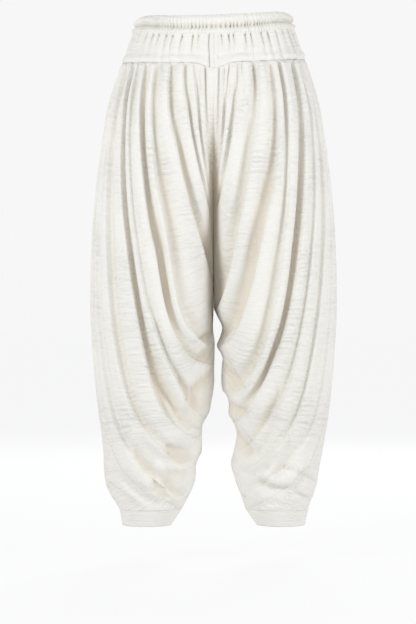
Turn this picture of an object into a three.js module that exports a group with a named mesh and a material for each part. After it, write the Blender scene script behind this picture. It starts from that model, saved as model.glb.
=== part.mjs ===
// A patiala salwar: wide trousers whose legs are pleated into a gathered yoke, hang from an elastic waistband,
// swag between the legs below a low crotch, and narrow into a plain band at each ankle.
// It keeps the hollow shape that it has when it is worn. Units are millimetres and +Z is up. +X is the wearer's
// right and +Y the wearer's front, so the back faces -Y. The origin is the middle of the waist, half way up the
// waistband, where the wearer holds the garment.
import * as THREE from "three";

// Sizes of the cloth.
const LEG_WALL = 1.6;
const YOKE_WALL = 1.8;
const BAND_WALL = 2.2;
const CUFF_WALL = 2.0;
const SEAM_GAP = 0.3;
const YOKE_SEAM_GAP = 0.5;
// Half of a leg's girth, which turns that gap into a share of the way round.
const HALF_GIRTH = 350;

// Cross-sections of one leg and of the body above it, from the waist to the ankle. outer and inner are the leg's
// reach from the middle plane; a negative inner lies past that plane, where the leg is cut off and joins the other.
// back and front are the reach behind and before the origin.
const SECTIONS = [
  { z: 30, outer: 149, innerLeft: -149, innerRight: -149, back: 98, front: 94 },
  { z: -5, outer: 155, innerLeft: -155, innerRight: -155, back: 102, front: 98 },
  { z: -36, outer: 166, innerLeft: -166, innerRight: -166, back: 109, front: 104 },
  { z: -79, outer: 182, innerLeft: -148, innerRight: -148, back: 121, front: 113 },
  { z: -165, outer: 208, innerLeft: -92, innerRight: -92, back: 136, front: 123 },
  { z: -282, outer: 225, innerLeft: -42, innerRight: -42, back: 141, front: 128 },
  { z: -360, outer: 233, innerLeft: -22, innerRight: -22, back: 140, front: 128 },
  { z: -438, outer: 238, innerLeft: -9, innerRight: -9, back: 135, front: 126 },
  { z: -516, outer: 240, innerLeft: -2.4, innerRight: -2.4, back: 129, front: 122 },
  { z: -548, outer: 240, innerLeft: -0.5, innerRight: -0.5, back: 127, front: 121 },
  { z: -580, outer: 239, innerLeft: 0.3, innerRight: 2, back: 124, front: 119 },
  { z: -672, outer: 233, innerLeft: 2, innerRight: 12, back: 114, front: 112 },
  { z: -750, outer: 225, innerLeft: 13, innerRight: 26, back: 104, front: 104 },
  { z: -828, outer: 213, innerLeft: 28, innerRight: 36, back: 92, front: 94 },
  { z: -896, outer: 202, innerLeft: 39, innerRight: 43, back: 79, front: 83 },
  { z: -941, outer: 185, innerLeft: 61, innerRight: 62, back: 63, front: 68 },
  { z: -973, outer: 178, innerLeft: 82, innerRight: 83, back: 50, front: 55 },
];
const SECTION_SQUARENESS = 2.2;
const CUFF_TOP = -941;
const HEM = -973;

// The folds of each leg, from the middle seam to the side. Each row is the edge of one pleat, which leaves the yoke
// at a share of the way from the middle to the side, behind (back) and before (front), and comes down to the inseam
// at height end, or, with toCuff, to that share of the way round the ankle band. drift is how far it leans inwards
// on the way, bend how late it does so, hook how sharply it turns in, sag how far it hangs below its end before it
// rises to it. top, mid and low are the depths of the trough between it and the next edge: at the yoke, half way
// down and at the inseam.
const LEFT_FOLDS = [
  { back: 0.0, front: 0.0, end: -290, toCuff: 0, drift: 0.3, bend: 2, hook: 6, sag: 0, top: 3, mid: 3, low: 0 },
  { back: 0.06, front: 0.07, end: -326, toCuff: 0, drift: 0.5, bend: 2, hook: 8, sag: 0, top: 5, mid: 6, low: 0 },
  { back: 0.12, front: 0.13, end: -360, toCuff: 0, drift: 0.7, bend: 2, hook: 8, sag: 0, top: 6, mid: 7, low: 2 },
  { back: 0.18, front: 0.2, end: -396, toCuff: 0, drift: 0.85, bend: 2, hook: 8, sag: 0, top: 5, mid: 12, low: 10 },
  { back: 0.28, front: 0.3, end: -508, toCuff: 0, drift: 0.8, bend: 2, hook: 9, sag: 0, top: 5, mid: 13, low: 12 },
  { back: 0.4, front: 0.41, end: -622, toCuff: 0, drift: 0.2, bend: 1, hook: 18, sag: 4, top: 7, mid: 14, low: 15 },
  { back: 0.49, front: 0.5, end: -658, toCuff: 0, drift: 0.22, bend: 1, hook: 17, sag: 6, top: 5, mid: 7, low: 12 },
  { back: 0.57, front: 0.58, end: -764, toCuff: 0, drift: 0.2, bend: 1, hook: 8, sag: 6, top: 7, mid: 14, low: 13 },
  { back: 0.65, front: 0.67, end: -794, toCuff: 0, drift: 0.25, bend: 1, hook: 20, sag: 12, top: 6, mid: 9, low: 9 },
  { back: 0.76, front: 0.77, end: -838, toCuff: 0, drift: 0.12, bend: 1, hook: 11, sag: 30, top: 6, mid: 8, low: 10 },
  { back: 0.86, front: 0.86, end: -903, toCuff: 0, drift: 0.08, bend: 1, hook: 10, sag: 24, top: 5, mid: 6, low: 7 },
  { back: 0.92, front: 0.91, end: CUFF_TOP, toCuff: 0, drift: 0, bend: 1, hook: 9, sag: 0, top: 4, mid: 4, low: 0 },
  { back: 0.95, front: 0.95, end: CUFF_TOP, toCuff: 0.33, drift: 0, bend: 1, hook: 10, sag: 0, top: 3, mid: 3, low: 0 },
  { back: 0.98, front: 0.98, end: CUFF_TOP, toCuff: 0.66, drift: 0, bend: 1, hook: 10, sag: 0, top: 2, mid: 1, low: 0 },
  { back: 1.0, front: 1.0, end: CUFF_TOP, toCuff: 1, drift: 0, bend: 1, hook: 5, sag: 0, top: 0, mid: 0, low: 0 },
];
const RIGHT_FOLDS = [
  { back: 0.0, front: 0.0, end: -262, toCuff: 0, drift: 0.3, bend: 2, hook: 6, sag: 0, top: 3, mid: 3, low: 0 },
  { back: 0.04, front: 0.05, end: -292, toCuff: 0, drift: 0.5, bend: 2, hook: 8, sag: 0, top: 4, mid: 5, low: 0 },
  { back: 0.09, front: 0.11, end: -320, toCuff: 0, drift: 0.7, bend: 2, hook: 8, sag: 0, top: 5, mid: 8, low: 4 },
  { back: 0.15, front: 0.17, end: -374, toCuff: 0, drift: 0.7, bend: 2, hook: 8, sag: 0, top: 5, mid: 10, low: 8 },
  { back: 0.27, front: 0.28, end: -560, toCuff: 0, drift: 0.5, bend: 2, hook: 12, sag: 0, top: 5, mid: 13, low: 14 },
  { back: 0.41, front: 0.4, end: -628, toCuff: 0, drift: 0.3, bend: 2, hook: 14, sag: 4, top: 6, mid: 8, low: 11 },
  { back: 0.48, front: 0.49, end: -720, toCuff: 0, drift: 0.05, bend: 1, hook: 11, sag: 6, top: 6, mid: 15, low: 13 },
  { back: 0.64, front: 0.63, end: -768, toCuff: 0, drift: 0.22, bend: 1, hook: 9, sag: 8, top: 5, mid: 6, low: 8 },
  { back: 0.73, front: 0.72, end: -818, toCuff: 0, drift: 0.22, bend: 1, hook: 10, sag: 14, top: 6, mid: 9, low: 9 },
  { back: 0.83, front: 0.81, end: -862, toCuff: 0, drift: 0.22, bend: 1, hook: 11, sag: 18, top: 5, mid: 6, low: 7 },
  { back: 0.89, front: 0.88, end: -906, toCuff: 0, drift: 0.12, bend: 1, hook: 10, sag: 16, top: 4, mid: 5, low: 5 },
  { back: 0.93, front: 0.93, end: CUFF_TOP, toCuff: 0, drift: 0, bend: 1, hook: 9, sag: 0, top: 4, mid: 4, low: 0 },
  { back: 0.96, front: 0.96, end: CUFF_TOP, toCuff: 0.33, drift: 0, bend: 1, hook: 10, sag: 0, top: 3, mid: 3, low: 0 },
  { back: 0.98, front: 0.98, end: CUFF_TOP, toCuff: 0.66, drift: 0, bend: 1, hook: 10, sag: 0, top: 2, mid: 1, low: 0 },
  { back: 1.0, front: 1.0, end: CUFF_TOP, toCuff: 1, drift: 0, bend: 1, hook: 5, sag: 0, top: 0, mid: 0, low: 0 },
];
// One pleat, across: it slopes gently away from its edge into a trough that lies under the edge of the next one.
const PLEAT_PROFILE = [
  { across: 0, drop: 0 },
  { across: 0.56, drop: 0.3 },
  { across: 0.88, drop: 1 },
];
// Where, as a share of its way out from the inseam, a fold hangs lowest.
const SAG_LOWEST = 0.35;
// A pleat is never deeper than this share of its width, so that its wall stays clear of itself.
const PLEAT_STEEPEST = 0.34;
const PLEAT_STEPS_DOWN = 16;
const PLEAT_STEP_CROWDING = 1.8;

// The yoke's lower seam and the waistband's two edges: heights behind, at the sides and before.
const YOKE_SEAM = { back: -86, side: -72, front: -84 };
const BAND_BOTTOM = { back: -33, side: -13, front: -24 };
const BAND_TOP = { back: 7, side: 17, front: 14 };
// How soon such a height leaves the one behind or before for the one at the side: a power of the cosine.
const HEIGHT_SWING = 1.6;
const YOKE_SEAM_POINT = { drop: 11, halfWidth: 26 };
const YOKE_GATHERS_PER_HALF = 26;
const YOKE_GATHER_DEPTH = { top: 3.2, bottom: 1.4 };
const YOKE_CENTRE_STRIP = 16;
const SAMPLES_PER_GATHER = 3;
const BAND_RIBS = 88;
const BAND_RIB_DEPTH = 1.3;
// The waistband from its top edge to its bottom edge: two elastic channels with a stitched groove between them.
const BAND_PROFILE = [
  { down: 0, swell: -2.5 },
  { down: 0.26, swell: 2.2 },
  { down: 0.56, swell: -1.6 },
  { down: 0.8, swell: 2.6 },
  { down: 1, swell: -0.6 },
];
const BAND_INSIDE_COLUMNS = 44;
const CUFF_COLUMNS = 32;

// The wearer stands with the right hip a little higher, and the lean fades out down the legs.
const HIP_TILT = { slope: 0.03, fadesOverHeight: 480 };

// How far apart the points are that an outward normal is worked out from: a share of the way round, and a height.
const NORMAL_STEP = { round: 0.004, height: 1.5 };
// How much of that smooth normal goes into the direction of a pleated wall's thickness.
const SMOOTH_NORMAL_SHARE = 0.35;

const CLOTH = { color: 0xf1ede2, roughness: 0.85, metalness: 0 };

// A smooth curve through points in rising x order, which never overshoots them, and which is level past its ends.
function curveThrough(xs, ys) {
  const slopes = xs.slice(1).map((x, i) => (ys[i + 1] - ys[i]) / (x - xs[i]));
  const tangents = xs.map((_, i) => {
    const before = slopes[i - 1];
    const after = slopes[i];
    if (before === undefined) return after;
    if (after === undefined) return before;
    return before * after <= 0 ? 0 : (2 * before * after) / (before + after);
  });
  return (x) => {
    if (x <= xs[0]) return ys[0];
    if (x >= xs[xs.length - 1]) return ys[ys.length - 1];
    const i = xs.findIndex((_, k) => x < xs[k + 1]);
    const width = xs[i + 1] - xs[i];
    const s = (x - xs[i]) / width;
    const rise = s * s * (3 - 2 * s);
    return (
      ys[i] * (1 - rise) +
      ys[i + 1] * rise +
      width * s * (1 - s) * (tangents[i] * (1 - s) - tangents[i + 1] * s)
    );
  };
}

// Each column of a table as a curve over its rows, which rise by the key.
function columnsOf(rows, keyOf) {
  const order = rows.map((row, i) => [keyOf(row, i), row]).sort((a, b) => a[0] - b[0]);
  const keys = order.map(([key]) => key);
  return Object.fromEntries(
    Object.keys(rows[0]).map((name) => [name, curveThrough(keys, order.map(([, row]) => row[name]))]),
  );
}

const SECTION = columnsOf(SECTIONS, (row) => row.z);

const signedPower = (value, power) => Math.sign(value) * Math.abs(value) ** power;

// The middle, half-width, half-depth and depth centre of one leg's section at a height. side is -1 for the left leg.
function sectionAt(side, z) {
  const outer = SECTION.outer(z);
  const inner = side < 0 ? SECTION.innerLeft(z) : SECTION.innerRight(z);
  return {
    middle: (outer + inner) / 2,
    half: (outer - inner) / 2,
    centre: (SECTION.front(z) - SECTION.back(z)) / 2,
    deep: (SECTION.front(z) + SECTION.back(z)) / 2,
  };
}

// A point of a squared ellipse at an angle that starts at the inner side and turns by the back.
function sectionPoint(side, z, angle) {
  const { middle, half, centre, deep } = sectionAt(side, z);
  const power = 2 / SECTION_SQUARENESS;
  return new THREE.Vector3(
    side * (middle - half * signedPower(Math.cos(angle), power)),
    centre - deep * signedPower(Math.sin(angle), power),
    z,
  );
}

// The smooth outside of the garment: round goes from 0 at the middle seam or inseam behind, past the side at 0.5,
// to 1 at the same seam before.
function outside(side, round, z) {
  const { middle, half, deep } = sectionAt(side, z);
  const seam = SEAM_GAP / 2;
  const reach = signedPower(Math.min(1, (middle - seam) / half), SECTION_SQUARENESS / 2);
  const first = Math.max(Math.acos(reach), seam / deep);
  return sectionPoint(side, z, first + round * 2 * (Math.PI - first));
}

const clamp01 = (x) => Math.min(1, Math.max(0, x));

// The outward normal of that smooth outside, from points a little way off.
function outwards(side, round, z) {
  const step = NORMAL_STEP;
  const around = outside(side, round + step.round, z).sub(outside(side, round - step.round, z));
  const upwards = outside(side, round, z + step.height).sub(outside(side, round, z - step.height));
  return around.cross(upwards).multiplyScalar(side).normalize();
}

// A height that runs smoothly from behind, past the sides, to the front.
function ringHeight(heights, round) {
  const swing = Math.cos(Math.PI * clamp01(round));
  const end = swing > 0 ? heights.back : heights.front;
  return heights.side + (end - heights.side) * Math.abs(swing) ** HEIGHT_SWING;
}

// The seam between yoke and legs, which comes down to a blunt point in the middle of the back.
function yokeSeam(side, round) {
  const z = ringHeight(YOKE_SEAM, round);
  const x = outside(side, round, z).x;
  const point = round < 0.5 ? YOKE_SEAM_POINT.drop * Math.exp(-((x / YOKE_SEAM_POINT.halfWidth) ** 2)) : 0;
  return z - point;
}

// The stance of the wearer, given to every point at the end.
function inStance(p) {
  const weight = clamp01(1 + p.z / HIP_TILT.fadesOverHeight);
  p.z += HIP_TILT.slope * p.x * weight * weight;
  return p;
}

// A closed wall between two grids of the same size, given as rows of points. around says that each row is a ring.
function wallBetween(outer, inner, around) {
  const rows = outer.length;
  const columns = outer[0].length;
  const positions = [...outer.flat(), ...inner.flat()].flatMap((p) => [p.x, p.y, p.z]);
  const at = (layer, r, c) => layer * rows * columns + r * columns + (c % columns);
  const index = [];
  const quad = (a, b, c, d) => index.push(a, b, c, a, c, d);
  const lastColumn = around ? columns : columns - 1;
  for (let r = 0; r < rows - 1; r++) {
    for (let c = 0; c < lastColumn; c++) {
      quad(at(0, r, c), at(0, r + 1, c), at(0, r + 1, c + 1), at(0, r, c + 1));
      quad(at(1, r, c), at(1, r, c + 1), at(1, r + 1, c + 1), at(1, r + 1, c));
    }
  }
  for (let c = 0; c < lastColumn; c++) {
    quad(at(0, 0, c), at(0, 0, c + 1), at(1, 0, c + 1), at(1, 0, c));
    quad(at(1, rows - 1, c), at(1, rows - 1, c + 1), at(0, rows - 1, c + 1), at(0, rows - 1, c));
  }
  if (!around) {
    for (let r = 0; r < rows - 1; r++) {
      quad(at(0, r, 0), at(1, r, 0), at(1, r + 1, 0), at(0, r + 1, 0));
      quad(at(0, r, lastColumn), at(0, r + 1, lastColumn), at(1, r + 1, lastColumn), at(1, r, lastColumn));
    }
  }
  return closedGeometry(positions, index);
}

// A geometry from positions and triangles, turned so that its faces point out.
function closedGeometry(positions, index) {
  const p = (i) => new THREE.Vector3().fromArray(positions, 3 * i);
  let sixVolumes = 0;
  for (let i = 0; i < index.length; i += 3) {
    sixVolumes += p(index[i]).dot(p(index[i + 1]).cross(p(index[i + 2])));
  }
  const facing = sixVolumes < 0 ? index.toReversed() : index;
  const geometry = new THREE.BufferGeometry();
  geometry.setAttribute("position", new THREE.Float32BufferAttribute(positions, 3));
  geometry.setIndex(facing);
  return geometry;
}

// The points a wall's thickness inside a grid, along the grid's own normals, and never past the middle seam.
function insetGrid(side, grid, wall, inwards) {
  const rows = grid.length;
  const columns = grid[0].length;
  return grid.map((line, r) =>
    line.map((p, c) => {
      const right = line[Math.min(columns - 1, c + 1)].clone().sub(line[Math.max(0, c - 1)]);
      const down = grid[Math.min(rows - 1, r + 1)][c].clone().sub(grid[Math.max(0, r - 1)][c]);
      const normal = right.cross(down).normalize();
      const hint = inwards(r, c);
      if (normal.dot(hint) < 0) normal.negate();
      const onSeam = c === 0 || c === columns - 1 || r === rows - 1;
      const mostly = onSeam ? hint : normal.addScaledVector(hint, SMOOTH_NORMAL_SHARE).normalize();
      const inset = p.clone().addScaledVector(mostly, wall);
      inset.x = side * Math.max(onSeam ? SEAM_GAP / 2 : SEAM_GAP, side * inset.x);
      return inset;
    }),
  );
}

// Where the line of a fold is, a share of the way down: how far round the leg, and how high.
function foldLine(side, folds, face, fold, down) {
  const toCuff = folds.toCuff(fold) / 2;
  const start = (face === "back" ? folds.back(fold) : folds.front(fold)) / 2;
  const turn = (1 - down ** folds.hook(fold)) ** (0.5 + folds.toCuff(fold));
  const share = (1 - folds.drift(fold) * down ** folds.bend(fold)) * turn;
  const fromSeam = toCuff + (start - toCuff) * share;
  const startRound = face === "back" ? start : 1 - start;
  const top = yokeSeam(side, startRound);
  const hang = (share / SAG_LOWEST) * Math.exp(1 - share / SAG_LOWEST);
  const sag = folds.sag(fold) * hang * down ** 4;
  return {
    round: face === "back" ? fromSeam : 1 - fromSeam,
    z: top + (folds.end(fold) - top) * down - sag,
  };
}

// The depth of a pleat's trough, from its three depths and from how wide it is there.
function pleatDepth(row, down, width) {
  const wanted = curveThrough([0, 0.5, 1], [row.top, row.mid, row.low])(down);
  return Math.min(wanted, PLEAT_STEEPEST * width);
}

// A panel's side seam keeps half of the gap to its neighbour.
function insidePanel(face, round) {
  const gap = SEAM_GAP / 2 / HALF_GIRTH;
  return face === "back" ? Math.min(round, 0.5 - gap) : Math.max(round, 0.5 + gap);
}

// Half of a leg: pleats side by side, each a gentle slope into a trough, along lines that sweep to the inseam.
function legHalf(side, rows, face) {
  const folds = columnsOf(rows, (_, i) => i);
  const placeOf = (fold, down) => {
    const { round, z } = foldLine(side, folds, face, fold, down);
    const kept = insidePanel(face, round);
    return { point: outside(side, kept, z), inwards: outwards(side, kept, z).negate() };
  };
  const places = [];
  for (let step = 0; step <= PLEAT_STEPS_DOWN; step++) {
    const down = 1 - (1 - step / PLEAT_STEPS_DOWN) ** PLEAT_STEP_CROWDING;
    const line = [];
    for (let i = 0; i < rows.length - 1; i++) {
      const width = placeOf(i, down).point.distanceTo(placeOf(i + 1, down).point);
      const depth = pleatDepth(rows[i], down, width);
      for (const { across, drop } of PLEAT_PROFILE) {
        const { point, inwards } = placeOf(i + across, down);
        line.push({ point: inStance(point.addScaledVector(inwards, depth * drop)), inwards });
      }
    }
    const { point, inwards } = placeOf(rows.length - 1, down);
    line.push({ point: inStance(point), inwards });
    places.push(line);
  }
  const grid = places.map((line) => line.map(({ point }) => point));
  return wallBetween(grid, insetGrid(side, grid, LEG_WALL, (r, c) => places[r][c].inwards), false);
}

// Half of the yoke, from the middle of the back round the side to the middle of the front. The elastic gathers its
// top edge into upright ridges, which flatten towards the seam. A plain strip lies beside the middle back seam.
function yokeHalf(side) {
  const columns = YOKE_GATHERS_PER_HALF * SAMPLES_PER_GATHER;
  const heights = [0, 0.5, 1];
  const grid = heights.map((down) => {
    const line = [];
    for (let c = 0; c <= columns; c++) {
      const round = c / columns;
      const top = ringHeight(BAND_BOTTOM, round) - SEAM_GAP;
      const bottom = yokeSeam(side, round) + YOKE_SEAM_GAP;
      const z = top + (bottom - top) * down;
      const p = outside(side, round, z);
      const depth = YOKE_GATHER_DEPTH.top + (YOKE_GATHER_DEPTH.bottom - YOKE_GATHER_DEPTH.top) * down;
      const plain = side > 0 && round < 0.5 && Math.abs(p.x) < YOKE_CENTRE_STRIP;
      const onSeam = c === 0 || c === columns;
      const wave = onSeam || plain ? 0 : (1 - Math.cos((2 * Math.PI * c) / SAMPLES_PER_GATHER)) / 2;
      line.push(inStance(p.addScaledVector(outwards(side, round, z), -depth * wave)));
    }
    return line;
  });
  const inwards = (r, c) => outwards(side, c / columns, grid[r][c].z).negate();
  return wallBetween(grid, insetGrid(side, grid, YOKE_WALL, inwards), false);
}

// A point of the waistband: turn is 0 behind, a quarter at the wearer's right and half before, down goes from 0 at
// the top edge to 1 at the bottom edge, and grow is how far the point stands out.
function bandPoint(turn, down, grow) {
  const side = turn <= 0.5 ? 1 : -1;
  const round = turn <= 0.5 ? turn * 2 : 2 - turn * 2;
  const top = ringHeight(BAND_TOP, round);
  const z = top + (ringHeight(BAND_BOTTOM, round) - top) * down;
  const p = outside(side, round, z);
  if (round === 0 || round === 1) p.x = 0;
  return inStance(p.addScaledVector(outwards(side, round, z), grow));
}

// The elastic waistband: upright ribs on the outside of two swelling channels, over a plain inside.
function waistband() {
  const columns = BAND_RIBS * 2;
  const ribbed = BAND_PROFILE.map(({ down, swell }) =>
    Array.from({ length: columns }, (_, c) => bandPoint(c / columns, down, swell - (c % 2) * BAND_RIB_DEPTH)),
  );
  const plain = [BAND_PROFILE.at(0), BAND_PROFILE.at(-1)].map(({ down, swell }) =>
    Array.from({ length: BAND_INSIDE_COLUMNS }, (_, c) =>
      bandPoint(c / BAND_INSIDE_COLUMNS, down, swell - BAND_RIB_DEPTH - BAND_WALL),
    ),
  );
  const positions = [...ribbed.flat(), ...plain.flat()].flatMap((p) => [p.x, p.y, p.z]);
  const outer = (r, c) => r * columns + (c % columns);
  const inner = (r, c) => ribbed.length * columns + r * BAND_INSIDE_COLUMNS + (c % BAND_INSIDE_COLUMNS);
  const index = [];
  for (let r = 0; r < ribbed.length - 1; r++) {
    for (let c = 0; c < columns; c++) {
      index.push(outer(r, c), outer(r + 1, c), outer(r + 1, c + 1));
      index.push(outer(r, c), outer(r + 1, c + 1), outer(r, c + 1));
    }
  }
  const perPanel = columns / BAND_INSIDE_COLUMNS;
  for (let c = 0; c < BAND_INSIDE_COLUMNS; c++) {
    index.push(inner(0, c), inner(0, c + 1), inner(1, c + 1));
    index.push(inner(0, c), inner(1, c + 1), inner(1, c));
    const first = c * perPanel;
    const half = first + perPanel / 2;
    const last = first + perPanel;
    const bottom = ribbed.length - 1;
    for (let k = first; k < half; k++) {
      index.push(outer(0, k), outer(0, k + 1), inner(0, c));
      index.push(outer(bottom, k + 1), outer(bottom, k), inner(1, c));
    }
    for (let k = half; k < last; k++) {
      index.push(outer(0, k), outer(0, k + 1), inner(0, c + 1));
      index.push(outer(bottom, k + 1), outer(bottom, k), inner(1, c + 1));
    }
    index.push(outer(0, half), inner(0, c + 1), inner(0, c));
    index.push(outer(bottom, half), inner(1, c), inner(1, c + 1));
  }
  return closedGeometry(positions, index);
}

// The plain band that ends each leg at the ankle.
function ankleBand(side) {
  const heights = [CUFF_TOP - SEAM_GAP, (CUFF_TOP + HEM) / 2, HEM];
  const ring = (z, inset) =>
    Array.from({ length: CUFF_COLUMNS }, (_, c) => {
      const angle = (2 * Math.PI * c) / CUFF_COLUMNS;
      const p = sectionPoint(side, z, angle);
      const centre = sectionAt(side, z);
      const inwards = new THREE.Vector3(side * centre.middle - p.x, centre.centre - p.y, 0).normalize();
      return p.addScaledVector(inwards, inset);
    });
  return wallBetween(
    heights.map((z) => ring(z, 0)),
    heights.map((z) => ring(z, CUFF_WALL)),
    true,
  );
}

function piece(name, geometry) {
  const mesh = new THREE.Mesh(geometry, new THREE.MeshStandardMaterial(CLOTH));
  mesh.name = name;
  return mesh;
}

const salwar = new THREE.Group();
salwar.add(piece("waistband", waistband()));
for (const [name, side, folds] of [["left", -1, LEFT_FOLDS], ["right", 1, RIGHT_FOLDS]]) {
  salwar.add(piece(`yoke_${name}`, yokeHalf(side)));
  salwar.add(piece(`leg_${name}_back`, legHalf(side, folds, "back")));
  salwar.add(piece(`leg_${name}_front`, legHalf(side, folds, "front")));
  salwar.add(piece(`ankle_band_${name}`, ankleBand(side)));
}

export default salwar;
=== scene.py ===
"""A patiala salwar in soft off-white slub viscose, with the shape that it has when it is worn."""
import math

import bpy
import numpy as np
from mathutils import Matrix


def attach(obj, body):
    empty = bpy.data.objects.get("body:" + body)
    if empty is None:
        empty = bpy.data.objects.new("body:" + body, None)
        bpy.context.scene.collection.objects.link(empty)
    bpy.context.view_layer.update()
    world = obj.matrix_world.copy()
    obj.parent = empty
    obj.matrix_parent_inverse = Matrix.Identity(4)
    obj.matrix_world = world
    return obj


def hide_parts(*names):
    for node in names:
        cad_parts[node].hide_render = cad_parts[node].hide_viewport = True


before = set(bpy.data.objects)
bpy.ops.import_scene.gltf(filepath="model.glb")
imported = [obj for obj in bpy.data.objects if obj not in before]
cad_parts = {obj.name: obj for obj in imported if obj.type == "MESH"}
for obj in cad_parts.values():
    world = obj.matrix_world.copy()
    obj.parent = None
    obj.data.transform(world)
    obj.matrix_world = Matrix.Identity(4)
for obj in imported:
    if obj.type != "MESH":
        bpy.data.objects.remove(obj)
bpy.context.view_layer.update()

# The cloth of every piece.
# Viscose woven with slub yarn, washed and worn: soft, nearly matt and slightly translucent. Thicker yarns and
# the crinkles of wear run across the garment. Deep folds carry a painted shade: the warm off-white is painted
# darker and yellower there.


def linear(hex_colour):
    """An sRGB colour such as F4F0E6 as linear red, green, blue and alpha."""
    parts = np.array([int(hex_colour[i:i + 2], 16) for i in (0, 2, 4)]) / 255
    low = parts / 12.92
    high = ((parts + 0.055) / 1.055) ** 2.4
    return (*np.where(parts <= 0.04045, low, high).tolist(), 1.0)


def add_node(tree, kind, settings=None, inputs=None):
    """A node of that kind, with its settings, its input values, and links where an input is another node's
    output."""
    node = tree.nodes.new(kind)
    for name, value in (settings or {}).items():
        setattr(node, name, value)
    for name, value in (inputs or {}).items():
        if isinstance(value, bpy.types.NodeSocket):
            tree.links.new(value, node.inputs[name])
        else:
            node.inputs[name].default_value = value
    return node


def slub_viscose(name):
    """Plain-woven viscose. The pattern lies on the cloth's own map, in metres: across the folds, then along
    them. A painted shade, darker and yellower, follows the cloth's own attribute fold_depth, in millimetres."""
    material = bpy.data.materials.new(name)
    material.use_nodes = True
    tree = material.node_tree
    tree.nodes.clear()
    cloth_map = add_node(tree, "ShaderNodeUVMap", {"uv_map": "cloth"}).outputs["UV"]

    # Slubs are thick places in the weft, 15 to 40 mm long and about 1 mm high. They are drawn a little
    # coarser.
    slub_place = add_node(tree, "ShaderNodeMapping", {}, {"Vector": cloth_map, "Scale": (42, 520, 1)})
    slubs = add_node(tree, "ShaderNodeTexNoise", {}, {
        "Vector": slub_place.outputs["Vector"], "Scale": 1.0, "Detail": 3.0, "Roughness": 0.55})
    # Crinkles of wear, 5 to 9 mm apart along the folds and 25 to 60 mm long.
    crinkle_place = add_node(tree, "ShaderNodeMapping", {}, {"Vector": cloth_map, "Scale": (26, 150, 1)})
    crinkles = add_node(tree, "ShaderNodeTexNoise", {}, {
        "Vector": crinkle_place.outputs["Vector"], "Scale": 1.0, "Detail": 4.0, "Roughness": 0.6,
        "Distortion": 0.9})
    # Where the cloth is crinkled: patches about 120 mm across.
    patches = add_node(tree, "ShaderNodeTexNoise", {}, {"Vector": cloth_map, "Scale": 8.0, "Detail": 2.0})
    patch_share = add_node(tree, "ShaderNodeMapRange", {}, {
        "Value": patches.outputs["Fac"], "From Min": 0.36, "From Max": 0.66, "To Min": 0.15, "To Max": 1.0})
    crinkle_height = add_node(tree, "ShaderNodeMath", {"operation": "MULTIPLY"}, {
        0: crinkles.outputs["Fac"], 1: patch_share.outputs["Result"]})
    # The weave itself, threads 0.9 mm apart, three times as coarse as the real ones so that it shows.
    warp_place = add_node(tree, "ShaderNodeMapping", {}, {"Vector": cloth_map, "Scale": (1100, 1100, 1)})
    weave = add_node(tree, "ShaderNodeTexNoise", {}, {
        "Vector": warp_place.outputs["Vector"], "Scale": 1.0, "Detail": 1.0})

    slub_bump = add_node(tree, "ShaderNodeBump", {}, {
        "Height": slubs.outputs["Fac"], "Strength": 0.16, "Distance": 0.0012})
    crinkle_bump = add_node(tree, "ShaderNodeBump", {}, {
        "Height": crinkle_height.outputs["Value"], "Strength": 0.8, "Distance": 0.006,
        "Normal": slub_bump.outputs["Normal"]})
    weave_bump = add_node(tree, "ShaderNodeBump", {}, {
        "Height": weave.outputs["Fac"], "Strength": 0.1, "Distance": 0.0006,
        "Normal": crinkle_bump.outputs["Normal"]})

    tint_share = add_node(tree, "ShaderNodeMapRange", {}, {
        "Value": slubs.outputs["Fac"], "From Min": 0.3, "From Max": 0.75})
    tint = add_node(tree, "ShaderNodeMix", {"data_type": "RGBA"}, {
        "Factor": tint_share.outputs["Result"], "A": linear("E4E1D9"), "B": linear("EDEBE5")})
    # Painted shade: deep in a fold the colour is painted darker and yellower, standing in for the light that
    # bounces and comes through the cloth there.
    depth = add_node(tree, "ShaderNodeAttribute", {"attribute_name": "fold_depth"})
    painted_shade_share = add_node(tree, "ShaderNodeMapRange", {"interpolation_type": "SMOOTHSTEP"}, {
        "Value": depth.outputs["Fac"], "From Min": 3.0, "From Max": 22.0, "To Max": 0.6})
    with_painted_shade = add_node(tree, "ShaderNodeMix", {"data_type": "RGBA"}, {
        "Factor": painted_shade_share.outputs["Result"], "A": tint.outputs["Result"], "B": linear("DBD0BA")})
    shader = add_node(tree, "ShaderNodeBsdfPrincipled", {}, {
        "Base Color": with_painted_shade.outputs["Result"], "Roughness": 0.82, "IOR": 1.46, "Sheen Weight": 0.25,
        "Sheen Roughness": 0.5, "Specular IOR Level": 0.3, "Normal": weave_bump.outputs["Normal"]})
    add_node(tree, "ShaderNodeOutputMaterial", {}, {"Surface": shader.outputs["BSDF"]})
    return material


leg_cloth = slub_viscose("slub_viscose_washed")

# The two legs.
# Each is a wide tube sewn from a back and a front panel. It is pleated into the yoke all round, and its
# long folds sweep down and inwards, past a low crotch, to hang in swags at the inseam.
MM = 0.001
CLOTH_THICKNESS = 0.9
LEFT = -1
RIGHT = 1
SQUARENESS = 2.2
CUFF_TOP = -941
HEM = -973

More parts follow.
